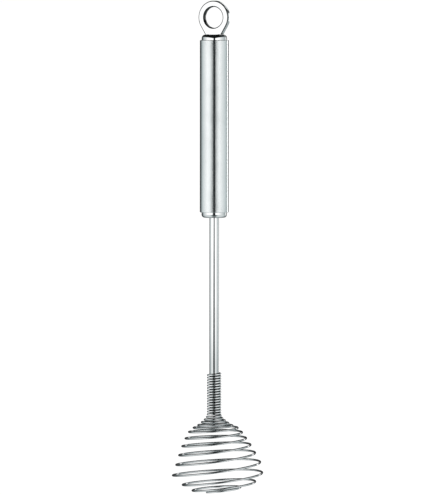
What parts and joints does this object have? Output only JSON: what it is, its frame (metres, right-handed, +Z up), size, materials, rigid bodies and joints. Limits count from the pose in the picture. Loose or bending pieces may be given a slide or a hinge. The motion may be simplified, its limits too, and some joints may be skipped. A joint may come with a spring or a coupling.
{
  "type": "spiral whisk",
  "caption": "Hand whisk with a flat hanging ring, a round tube handle, a slim shaft and a springy onion-shaped spiral head of one wound wire.",
  "frame": {"origin": "centre of the hanging eye, at mid thickness of the ring", "axes": "+Z up along the shaft, from the head to the ring; the ring's flat faces point to -Y and +Y"},
  "size_m": [0.06, 0.0602, 0.3245],
  "materials": {
    "polished_steel": "mirror polished stainless steel",
    "satin_steel": "satin stainless steel with fine lines round its girth",
    "wire_steel": "bright drawn stainless spring wire"
  },
  "bodies": {
    "handle": {"hanging_ring": "polished_steel", "top_plug": "polished_steel", "handle_tube": "satin_steel", "bottom_plug": "polished_steel", "shaft": "polished_steel"},
    "spiral": {"spiral_wire": "wire_steel"}
  },
  "joints": [
    {"name": "head_press", "type": "slide", "parent": "handle", "child": "spiral", "axis": [0, 0, 1], "range_m": [0, 0.015], "stiffness_N_per_m": 60, "deforming": ["spiral_wire"]}
  ]
}
